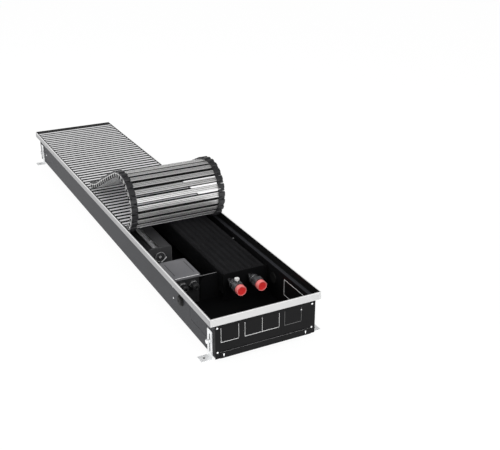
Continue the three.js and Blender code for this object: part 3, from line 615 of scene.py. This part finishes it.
# The web, in painted shade, with two more strips of painted shade for the grooves under the foot.
def addSlatWeb(mesh, place):
    middle = -grille["pitch"] / 2
    reach = grille["width"] / 2 - grille["endPlate"]
    web = grille["web"]
    low, high = webHeights()
    outline = [(middle - 2 * web, low), (middle + 2 * web, low), (middle + web, low + web),
               (middle + web, high - web), (middle + 2 * web, high), (middle - 2 * web, high),
               (middle - web, high - web), (middle - web, low + web)]
    addPrism(mesh, "x", outline, -reach, reach, place)
    low = grille["foot"]
    for shift in (-grille["groove"], grille["groove"]):
        y = middle + shift
        strip = [(y - 0.45, low - 0.04), (y + 0.45, low - 0.04), (y + 0.45, low + 0.5), (y - 0.45, low + 0.5)]
        addPrism(mesh, "x", strip, -reach, reach, place)


def addSlatEnds(mesh, place):
    middle = -grille["pitch"] / 2
    half = grille["width"] / 2
    low, high = webHeights()
    outline = [(middle - 4.0, low), (middle + 4.0, low), (middle + 4.0, high), (middle - 4.0, high)]
    for side in (-1, 1):
        across = sorted((side * (half - grille["endPlate"]), side * half))
        addPrism(mesh, "x", rounded(outline, 1.0), *across, place)


# A link is a block under the foot, a core beside the web and an eye at each of its hinge lines.
def addLink(mesh, place, firstEye=True, lastEye=True):
    half = grille["width"] / 2
    inner = half - grille["linkLength"]
    outer = half - grille["linkPlay"]
    lane = (grille["linkLength"] - grille["linkGap"]) / 2
    pitch = grille["pitch"]
    y0 = -(pitch + grille["face"]) / 2
    y1 = -(pitch - grille["face"]) / 2
    r = grille["knuckle"]
    low, high = grille["under"], grille["foot"] + 1.5
    block = [(y0 + 1.6, low), (y1 - 1.6, low), (y1, low + 2.4), (y1, high), (y0, high), (y0, low + 2.4)]
    top = grille["top"] - 2.1
    core = [(y0 + 2.6, high - 0.2), (y1 - 2.6, high - 0.2), (y1 - 2.6, top), (y0 + 2.6, top)]
    for side in (-1, 1):
        addPrism(mesh, "x", rounded(block, 0.6), *sorted((side * inner, side * outer)), place)
        addPrism(mesh, "x", core, *sorted((side * inner, side * (half - grille["endPlate"]))), place)
        if firstEye:
            eye = [(y1 - 0.5, -r)] + arcPoints((0, 0), r, -90, 90, 8) + [(y1 - 0.5, r)]
            addPrism(mesh, "x", eye, *sorted((side * (half - lane), side * outer)), place)
        if lastEye:
            eye = [(y0 + 0.5, r)] + arcPoints((-pitch, 0), r, 90, 270, 8) + [(y0 + 0.5, -r)]
            addPrism(mesh, "x", eye, *sorted((side * inner, side * (inner + lane))), place)


def addPin(mesh, place):
    half = grille["width"] / 2
    r = grille["pinRadius"]
    for side in (-1, 1):
        start = side * (half - grille["linkLength"] + 0.1)
        profile = [(0, start), (r, start), (r, side * (half - 0.05)), (0, side * (half - 0.02))]
        addTurned(mesh, "x", profile, (0, 0), 14, place=place)


def makeFlatMat():
    faces = bmesh.new()
    webs = bmesh.new()
    links = bmesh.new()
    pins = bmesh.new()
    fold = Vector(hinges[0]["pos_m"])
    count = grille["flatSlats"]
    for i in range(1, count + 1):
        place = Matrix.Translation(fold + Vector((0, i * grille["pitch"] * mm, 0)))
        # The last slat takes the painted shade, as a shaded line along the far rail.
        addSlatFace(faces if i < count else webs, webs, place)  # the last slat is dark
        # The flat mat's feet are in painted shade too.
        addSlatFoot(webs, place)
        addSlatWeb(webs, place)
        addLink(links, place, firstEye=i < count)
        if i < count:
            addPin(pins, place)
    finishPiece("flat_slats", faces, slatFace, "grille_mat", ["grille_flat_mat"])
    finishPiece("flat_slat_webs", webs, slatShade, "grille_mat")
    finishPiece("flat_links", links, linkPlastic, "grille_mat")
    finishPiece("flat_pins", pins, zincPlate, "grille_mat")


def makeRolledSlat(number, place, body, isLast):
    face = bmesh.new()
    web = bmesh.new()
    addSlatFace(face, web, place)
    finishPiece(f"slat_face_{number}", face, slatFace, body)
    ends = bmesh.new()
    addSlatEnds(ends, place)
    finishPiece(f"slat_ends_{number}", ends, slatEnd, body)
    slat = bmesh.new()
    addSlatFoot(slat, place)
    finishPiece(f"slat_{number}", slat, slatMetal, body, [f"grille_slat_{number}"])
    addSlatWeb(web, place)
    finishPiece(f"slat_web_{number}", web, slatShade, body)
    links = bmesh.new()
    addLink(links, place, lastEye=not isLast)
    finishPiece(f"slat_links_{number}", links, linkPlastic, body)
    pins = bmesh.new()
    addPin(pins, place)
    finishPiece(f"slat_pins_{number}", pins, zincPlate, body)


# Each slat leans as far as all the hinges up to its own have turned from flat.
def makeRolledSlats():
    angle = 0.0
    for i, hinge in enumerate(hinges, 1):
        angle += math.radians(hinge["range_deg"][1]) * hinge["axis"][0]
        place = Matrix.Translation(Vector(hinge["pos_m"])) @ Matrix.Rotation(-angle, 4, "X")
        makeRolledSlat(f"{i:02d}", place, hinge["child"], i == len(hinges))


makeFlatMat()
makeRolledSlats()
print("grille made")


# Heat exchanger. Sizes in mm.
exchanger = {
    "finPitch": 4.6,
    "finThickness": 0.35,
    "folds": 14,
    "wave": 2.6,
    "across": (1.5, 114.5),
    "height": (29.0, 84.0),
    "lastFin": 684,
    "tubes": (22.0, 77.0),
    "tubeHeight": 62.0,
    "tubeRadius": 7.5,
    "tubeLength": (-524.4, 689),
    "brackets": ((-524.5, -506.5), (687.5, 671.0)),
    "bracketFlange": (120.2, 121.7),
}


def makeExchanger():
    low = boxOf("heat_exchanger_core")[0]
    x0, x1 = exchanger["across"]
    z0, z1 = exchanger["height"]
    mesh = bmesh.new()
    folds = exchanger["folds"]
    half = exchanger["finThickness"] / 2
    y = low[1] + 4.5
    while y < exchanger["lastFin"]:
        front = []
        back = []
        for i in range(folds + 1):
            x = x0 + (x1 - x0) * i / folds
            wave = (exchanger["wave"] / 2) * (1 if i % 2 else -1)
            front.append((x, y + wave - half))
            back.append((x, y + wave + half))
        addPrism(mesh, "z", front + back[::-1], z0, z1)
        y += exchanger["finPitch"]
    finishPiece("exchanger_fins", mesh, finCoat, "casing",
                ["heat_exchanger_core"], smooth=20)
    mesh = bmesh.new()
    left, right = exchanger["tubes"]
    z = exchanger["tubeHeight"]
    r = exchanger["tubeRadius"]
    start, end = exchanger["tubeLength"]
    for x in (left, right):
        addTurned(mesh, "y", [(0, start), (r, start), (r, end), (0, end)], (x, z), 28)
    bend = arcPoints(((left + right) / 2, end - 1.5), (right - left) / 2, 0, 180, 18)
    addTube(mesh, [(x, y, z) for x, y in bend], r - 0.1, 24)
    finishPiece("exchanger_tubes", mesh, finCoat, "casing")
    mesh = bmesh.new()
    flange = exchanger["bracketFlange"]
    for y0, into in exchanger["brackets"]:
        addBox(mesh, (x0, flange[1]), (y0, y0 + 1.5), (11.0, z1))
        addBox(mesh, flange, sorted((y0 + 0.75, into)), (z0, z1))
    finishPiece("exchanger_brackets", mesh, panelPaint, "casing", bevel=0.25)


makeExchanger()
print("exchanger made")


# Valves with their caps, and the vent on the supply valve. Sizes in mm.
valve = {
    "places": {"supply": 22.0, "return": 77.0},
    "height": 62.0,
    "face": -583.5,
    "unionRadius": 15.9,
    "unionLength": (-570.4, -556.0),
    "capRadius": 13.0,
    "capLength": 11.7,
    "loopRadius": 1.3,
}
vent = {"radius": 5.8, "ridges": 14, "ridgeDepth": 0.6}


def makeValves():
    z = valve["height"]
    for name, x in valve["places"].items():
        mesh = bmesh.new()
        profile = [(0, -580.0), (11.0, -580.0), (11.0, -571.2), (11.2, -571.2), (12.4, -570.9),
                   (12.4, -556), (10.4, -554.8), (10.4, -545), (12.6, -544), (12.6, -538),
                   (10.2, -537), (10.2, -533), (8.6, -530.5), (8.0, -528), (8.0, -524.9), (0, -524.9)]
        addTurned(mesh, "y", profile, (x, z), 40)
        hexagon = rounded(arcPoints((x, z), valve["unionRadius"], 0, 300, 5), 1.2)
        addPrism(mesh, "y", hexagon, *valve["unionLength"])
        if name == "supply":
            stem = [(0, z), (5, z), (5, 76.6), (4.4, 76.85), (0, 76.85)]
            addTurned(mesh, "z", stem, (x, valve["face"] + 26), 28)
        finishPiece(f"valve_body_{name}", mesh, nickel, "casing", [f"valve_{name}"], bevel=0.35)
        makeCap(name, (x, z))


def makeCap(name, centre):
    face = valve["face"]
    back = face + valve["capLength"]
    r = valve["capRadius"]
    mesh = bmesh.new()
    rim = [(r * 0.78, face + 0.9), (r * 0.80, face + 0.25), (r * 0.83, face), (r - 1.0, face),
           (r - 0.3, face + 0.3), (r, face + 1.0), (r, back - 0.6), (r - 0.3, back), (r - 1.5, back),
           (r - 1.6, back - 0.4), (r - 1.6, face + 3.2), (r * 0.78, face + 3.0)]
    addTurned(mesh, "y", rim, centre, 56, closed=True)
    # The rim takes the pinker red as a painted highlight.
    finishPiece(f"cap_rim_{name}", mesh, redRimHighlight, f"cap_{name}", [f"valve_cap_{name}"])
    mesh = bmesh.new()
    disc = [(0, face + 1.7), (5.0, face + 1.7), (6.0, face + 1.45), (r * 0.79, face + 1.4),
            (r * 0.79, face + 2.9), (0, face + 2.9)]
    addTurned(mesh, "y", disc, centre, 56)
    finishPiece(f"cap_disc_{name}", mesh, redPlastic, f"cap_{name}")


def makeVent():
    low, high = boxOf("air_vent")
    x = (low[0] + high[0]) / 2
    y = (low[1] + high[1]) / 2
    bottom, top = low[2], high[2]
    mesh = bmesh.new()
    outline = []
    count = vent["ridges"] * 4
    for i in range(count):
        reach = vent["radius"] - (vent["ridgeDepth"] if i % 4 in (2, 3) else 0.0)
        angle = 2 * math.pi * i / count
        outline.append((x + reach * math.cos(angle), y + reach * math.sin(angle)))
    addPrism(mesh, "z", outline, bottom + 3.0, top - 1.0)
    profile = [(0, bottom), (2.6, bottom), (2.6, bottom + 3.2), (4.4, bottom + 3.2), (5.0, top - 1.1),
               (4.2, top - 0.2), (2.4, top - 0.1), (2.0, top - 1.0), (0, top - 1.0)]
    addTurned(mesh, "z", profile, (x, y), 36)
    finishPiece("vent_knob", mesh, whitePlastic, "vent", ["air_vent"], bevel=0.2)


# Bent pipes from the valve bodies into the exchanger's header.
def makeValveLoops():
    mesh = bmesh.new()
    for x in valve["places"].values():
        points = [(x - 8.0, -540.0, 66.0), (x - 9.5, -535.0, 70.0), (x - 9.0, -530.0, 72.5),
                  (x - 5.5, -527.0, 72.0), (x - 2.0, -526.0, 68.5)]
        path = []
        for a, b in zip(points, points[1:]):
            path += [tuple(Vector(a).lerp(Vector(b), k / 4)) for k in range(4)]
        addTube(mesh, path + [points[-1]], valve["loopRadius"], 12)
    finishPiece("valve_loops", mesh, nickel, "casing")


makeValves()
makeVent()
makeValveLoops()
print("valves made")


# Junction box. Sizes in mm.
junction = {
    "across": (-117.0, -47.0),
    "length": (-499.5, -400.5),
    "top": 87.0,
    "lidDepth": 6.4,
    "corner": 4.0,
    "edge": 1.8,
    "grooves": (-107.2, -56.8),
    "grooveHalf": 0.8,
    "glandWall": -497.2,
    "ridges": 16,
    "nutRadius": 11.0,
}


def makeLid():
    x0, x1 = junction["across"]
    y0, y1 = junction["length"]
    top = junction["top"]
    edge = junction["edge"]
    cx, cy = (x0 + x1) / 2, (y0 + y1) / 2
    outline = rounded([(x0, y0), (x1, y0), (x1, y1), (x0, y1)], junction["corner"], 5)
    mesh = bmesh.new()
    layers = [(outline, top - junction["lidDepth"])]
    for degrees in range(0, 91, 15):
        turn = math.radians(degrees)
        shrink = edge * (1 - math.cos(turn))
        alongX = 1 - shrink / (x1 - cx)
        alongY = 1 - shrink / (y1 - cy)
        ring = [(cx + (x - cx) * alongX, cy + (y - cy) * alongY) for x, y in outline]
        layers.append((ring, top - 0.15 - edge * (1 - math.sin(turn))))
    rings = []
    for ring, z in layers:
        rings.append([mesh.verts.new(Vector((x, y, z)) * mm) for x, y in ring])
    for low, high in zip(rings, rings[1:]):
        for i in range(len(low)):
            k = (i + 1) % len(low)
            mesh.faces.new((low[i], low[k], high[k], high[i]))
    mesh.faces.new(rings[-1])
    mesh.faces.new(list(reversed(rings[0])))
    finishPiece("box_lid", mesh, lidPlastic, "casing", ["junction_box_lid"], smooth=50)


def makeLidTrim():
    x0, x1 = junction["across"]
    y0, y1 = junction["length"]
    top = junction["top"]
    half = junction["grooveHalf"]
    mesh = bmesh.new()
    for middle in junction["grooves"]:
        addBox(mesh, (middle - half, middle + half), (y0 + 15.8, y1 - 15.8), (top - 0.2, top - 0.02), 0.7)
    finishPiece("box_lid_grooves", mesh, blackPlastic, "casing")
    mesh = bmesh.new()
    head = [(0, top - 0.3), (2.4, top - 0.3), (2.4, top - 0.06), (1.9, top), (0.9, top),
            (0.7, top - 0.25), (0, top - 0.28)]
    for x in (x0 + 6, x1 - 6):
        for y in (y0 + 6, y1 - 6):
            addTurned(mesh, "z", head, (x, y), 20)
    finishPiece("box_lid_screws", mesh, lidPlastic, "casing")
    # A pale tube along the lid's near top edge: a painted highlight.
    mesh = bmesh.new()
    addTube(mesh, [(x0 + 4.5, y0 + 0.5, top - 0.75), (x1 - 4.5, y0 + 0.5, top - 0.75)], 0.55, 12)
    finishPiece("box_lid_highlight", mesh, paintedGlint, "casing")


def makeGlands():
    wall = junction["glandWall"]
    count = junction["ridges"]
    for name in ("left", "right"):
        low, high = boxOf(f"cable_gland_{name}")
        x = (low[0] + high[0]) / 2
        z = (low[2] + high[2]) / 2
        front = low[1]
        mesh = bmesh.new()
        profile = [(0, front + 8), (3.4, front + 7.5), (3.6, front + 0.6), (4.6, front), (6.6, front + 0.3),
                   (8.6, front + 1.8), (9.6, front + 4.6), (9.8, front + 8), (9.8, wall - 7.0),
                   (9.0, wall - 6.2), (9.0, wall - 5.2), (6.6, wall - 4.8), (6.6, wall + 5.0),
                   (0, wall + 5.0)]
        addTurned(mesh, "y", profile, (x, z), 40)
        for i in range(count):
            angle = 2 * math.pi * i / count
            ridge = [(x + r * math.cos(angle + turn), z + r * math.sin(angle + turn))
                     for r, turn in ((9.6, -0.05), (9.6, 0.05), (10.3, 0.05), (10.3, -0.05))]
            addPrism(mesh, "y", ridge, front + 5.5, wall - 7.4)
        finishPiece(f"gland_{name}", mesh, blackPlastic, "casing", [f"cable_gland_{name}"])
        # A nickel nut, lightened as a painted glint.
        mesh = bmesh.new()
        hexagon = rounded(arcPoints((x, z), junction["nutRadius"], 0, 300, 5), 1.0)
        addPrism(mesh, "y", hexagon, wall - 5.0, wall - 0.3)
        finishPiece(f"gland_nut_{name}", mesh, nickelGlint, "casing", bevel=0.4)


makeLid()
makeLidTrim()
dressNode("junction_box_base", blackPlastic, 0.4)
makeGlands()
print("junction box made")


# Tangential fan. Sizes in mm.
fan = {
    "axis": (-80.0, 60.0),
    "length": (-305.5, 279.5),
    "radius": 22.0,
    "sections": 12,
    "blades": 30,
    "bladeFoot": 5.6,
    "bladeDepth": 5.3,
    "bladeCurve": 0.30,
    "bladeThickness": 0.45,
    "sectionTurn": 0.06,
    "disc": 1.4,
    "discWidth": 6.2,
    "endPlateY": -315.7,
}


def makeImpeller():
    low, high = boxOf("fan_impeller")
    y0, y1 = fan["length"]
    cx, cz = fan["axis"]
    radius = fan["radius"]
    disc = fan["disc"]
    sections = fan["sections"]
    thickness = fan["bladeThickness"]
    mesh = bmesh.new()
    step = (y1 - y0 - disc) / sections
    for i in range(sections + 1):
        y = y0 + i * step
        isEnd = i in (0, sections)
        inner = 0 if isEnd else radius - fan["discWidth"]
        rim = [(inner, y), (radius, y), (radius, y + disc), (inner, y + disc)]
        addTurned(mesh, "y", rim, (cx, cz), 60, closed=not isEnd)
    for k in range(sections):
        for i in range(fan["blades"]):
            base = 2 * math.pi * i / fan["blades"] + k * fan["sectionTurn"]
            line = [(radius - fan["bladeFoot"] + share * fan["bladeDepth"],
                     base + fan["bladeCurve"] * share * share) for share in (0, 0.33, 0.66, 1)]
            front = [(cx + r * math.cos(a), cz + r * math.sin(a)) for r, a in line]
            back = [(cx + r * math.cos(a + thickness / r), cz + r * math.sin(a + thickness / r))
                    for r, a in line]
            addPrism(mesh, "y", front + back[::-1], y0 + k * step + 1.2, y0 + (k + 1) * step + 0.2)
    start, end = low[1], high[1]
    shaft = [(0, start + 0.2), (3.6, start + 0.2), (4.0, start + 0.8), (4.0, y0 + 0.5), (0, y0 + 0.5)]
    addTurned(mesh, "y", shaft, (cx, cz), 24)
    addTurned(mesh, "y", [(0, y1 - 0.5), (4.0, y1 - 0.5), (4.0, end), (0, end)], (cx, cz), 24)
    finishPiece("impeller", mesh, bladeMetal, "impeller", ["fan_impeller"])


def makeBearing():
    front = boxOf("fan_bearing")[0][1]
    mesh = bmesh.new()
    profile = [(4.3, front), (6.0, front), (6.4, front + 0.8), (9.6, front + 1.0), (10.4, front + 0.2),
               (11.4, front), (13.6, front + 0.6), (14.3, front + 2.0), (14.3, front + 7.9),
               (4.3, front + 7.9)]
    addTurned(mesh, "y", profile, fan["axis"], 48, closed=True)
    finishPiece("bearing_boss", mesh, housingPlastic, "casing", ["fan_bearing"])
    mesh = bmesh.new()
    hub = [(4.4, front - 0.1), (5.6, front - 0.1), (5.8, front + 0.3), (5.8, front + 0.9), (4.4, front + 0.9)]
    addTurned(mesh, "y", hub, fan["axis"], 32, closed=True)
    finishPiece("bearing_hub", mesh, nickel, "casing")
    # The end plate's wire clip, painted pale as its glint.
    mesh = bmesh.new()
    clip = [(-63.5, -317.6, 57.5), (-65.5, -319.6, 56.0), (-71, -319.8, 51.2), (-77, -319.4, 46.5),
            (-78.5, -317.4, 45.0)]
    addTube(mesh, clip, 1.0, 10)
    finishPiece("end_plate_clip", mesh, paintedGlint, "casing")
    # A painted highlight ring round the boss.
    mesh = bmesh.new()
    ring = [(12.6, front + 0.1), (13.3, front - 0.15), (13.9, front + 0.4), (13.6, front + 1.2),
            (12.6, front + 0.9)]
    addTurned(mesh, "y", ring, fan["axis"], 48, closed=True)
    finishPiece("bearing_ring", mesh, edgeHighlight, "casing")
    # A painted highlight along the end plate's edge.
    mesh = bmesh.new()
    y = fan["endPlateY"]
    edge = [(-48.2, y, 24), (-48.2, y, 79), (-49.6, y, 83.4), (-54, y, 85.6), (-103, y, 85.6)]
    addTube(mesh, edge, 0.45, 8)
    finishPiece("end_plate_edge", mesh, dullEdge, "casing")


def makeMotor():
    y = boxOf("fan_motor")[0][1]
    mesh = bmesh.new()
    profile = [(0, y), (23, y), (23, y + 3.6), (21.4, y + 4.4)]
    for i in range(9):
        base = y + 6 + i * 4.6
        profile += [(21.4, base), (22.6, base + 0.6), (22.6, base + 2.2), (21.4, base + 2.8)]
    profile += [(21.4, y + 52), (19, y + 56), (14, y + 57.8), (0, y + 58)]
    addTurned(mesh, "y", profile, fan["axis"], 48)
    finishPiece("motor_shell", mesh, motorPaint, "casing", ["fan_motor"])


dressNode("fan_housing", housingPlastic, 0.35)
makeImpeller()
makeBearing()
makeMotor()
print("fan made")


# A white floor: it glows to the camera, is white in mirrors, and keeps a soft shadow.
floor = {"size": 14.0, "color": (1.0, 1.0, 1.0), "glow": 0.90, "strength": 1.03, "mirrored": 1.0}


def makeFloor():
    mesh = bmesh.new()
    half = floor["size"] / 2
    corners = [(-half, -half), (half, -half), (half, half), (-half, half)]
    mesh.faces.new([mesh.verts.new((x, y, 0.0)) for x, y in corners])
    data = bpy.data.meshes.new("floor")
    mesh.to_mesh(data)
    mesh.free()
    plane = bpy.data.objects.new("floor", data)
    bpy.context.collection.objects.link(plane)
    material, tree, shader = newMaterial("pale_floor")
    shader.inputs["Roughness"].default_value = 0.9
    shader.inputs["Specular IOR Level"].default_value = 0.1
    shader.inputs["Base Color"].default_value = (*floor["color"], 1.0)
    path = tree.nodes.new("ShaderNodeLightPath")
    result = shader.outputs["BSDF"]
    glows = (("Is Glossy Ray", 1.0, floor["mirrored"]), ("Is Camera Ray", floor["glow"], floor["strength"]))
    for ray, share, strength in glows:
        glow = tree.nodes.new("ShaderNodeEmission")
        glow.inputs["Strength"].default_value = strength
        amount = tree.nodes.new("ShaderNodeMath")
        amount.operation = "MULTIPLY"
        amount.inputs[1].default_value = share
        tree.links.new(path.outputs[ray], amount.inputs[0])
        mix = tree.nodes.new("ShaderNodeMixShader")
        tree.links.new(amount.outputs[0], mix.inputs["Fac"])
        tree.links.new(result, mix.inputs[1])
        tree.links.new(glow.outputs["Emission"], mix.inputs[2])
        result = mix.outputs["Shader"]
    tree.links.new(result, tree.nodes["Material Output"].inputs["Surface"])
    data.materials.append(material)


# The studio's own light. Mirrored in metal, its walls are bright and it darkens overhead.
studio = {"light": 0.62, "wall": 1.0, "ceiling": 0.12, "wallTop": 0.10, "ceilingFrom": 0.46}


def makeWorld():
    world = bpy.data.worlds.new("studio")
    bpy.context.scene.world = world
    world.use_nodes = True
    tree = world.node_tree
    background = tree.nodes["Background"]
    background.inputs["Color"].default_value = (1, 1, 1, 1)
    direction = tree.nodes.new("ShaderNodeTexCoord")
    split = tree.nodes.new("ShaderNodeSeparateXYZ")
    tree.links.new(direction.outputs["Generated"], split.inputs["Vector"])
    room = tree.nodes.new("ShaderNodeMapRange")
    room.inputs["From Min"].default_value = studio["wallTop"]
    room.inputs["From Max"].default_value = studio["ceilingFrom"]
    room.inputs["To Min"].default_value = studio["wall"]
    room.inputs["To Max"].default_value = studio["ceiling"]
    tree.links.new(split.outputs["Z"], room.inputs["Value"])
    path = tree.nodes.new("ShaderNodeLightPath")
    mirrored = tree.nodes.new("ShaderNodeMath")
    mirrored.operation = "MAXIMUM"
    tree.links.new(path.outputs["Is Glossy Ray"], mirrored.inputs[0])
    tree.links.new(path.outputs["Is Transmission Ray"], mirrored.inputs[1])
    lit = tree.nodes.new("ShaderNodeMix")
    lit.inputs[2].default_value = studio["light"]
    tree.links.new(mirrored.outputs[0], lit.inputs["Factor"])
    tree.links.new(room.outputs["Result"], lit.inputs[3])
    seen = tree.nodes.new("ShaderNodeMix")
    seen.inputs[3].default_value = 1.0
    tree.links.new(path.outputs["Is Camera Ray"], seen.inputs["Factor"])
    tree.links.new(lit.outputs[0], seen.inputs[2])
    tree.links.new(seen.outputs[0], background.inputs["Strength"])


# Soft boxes. Places and sizes in m, power in W; only some of them show in the metal.
softboxes = {
    "top": {"position": (-0.9, 0.9, 2.4), "size": 2.6, "power": 22, "mirrored": False},
    "left": {"position": (-2.6, -0.4, 1.1), "size": 1.8, "power": 16, "mirrored": True},
    "front": {"position": (0.6, -3.0, 1.5), "size": 1.6, "power": 28, "mirrored": False},
    "low": {"position": (-0.2, -1.8, 0.42), "size": 0.7, "power": 3.5, "mirrored": True},
}
softboxAim = (0, -0.1, 0.1)


def addSoftbox(name, settings):
    data = bpy.data.lights.new(name, "AREA")
    data.shape = "SQUARE"
    data.size = settings["size"]
    data.energy = settings["power"]
    lamp = bpy.data.objects.new(name, data)
    bpy.context.collection.objects.link(lamp)
    lamp.location = settings["position"]
    lamp.visible_glossy = settings["mirrored"]
    lamp.visible_camera = False
    aim = Vector(softboxAim) - Vector(settings["position"])
    lamp.rotation_euler = aim.to_track_quat("-Z", "Y").to_euler()


# The camera stands where the photograph was taken. Position in m, turn in degrees, lens in mm.
camera = {
    "position": (-0.7407, -2.1023, 0.9785),
    "turn": (66.33, 0.0, -27.31),
    "lens": 58.43,
    "sensor": 36,
}


def makeCamera():
    data = bpy.data.cameras.new("camera")
    data.lens = camera["lens"]
    data.sensor_width = camera["sensor"]
    view = bpy.data.objects.new("camera", data)
    bpy.context.collection.objects.link(view)
    view.location = camera["position"]
    view.rotation_euler = [math.radians(a) for a in camera["turn"]]
    bpy.context.scene.camera = view


makeFloor()
makeWorld()
for name, settings in softboxes.items():
    addSoftbox(f"softbox_{name}", settings)
makeCamera()
bpy.context.scene.view_settings.view_transform = "Standard"

bpy.context.view_layer.update()
print("scene ready")
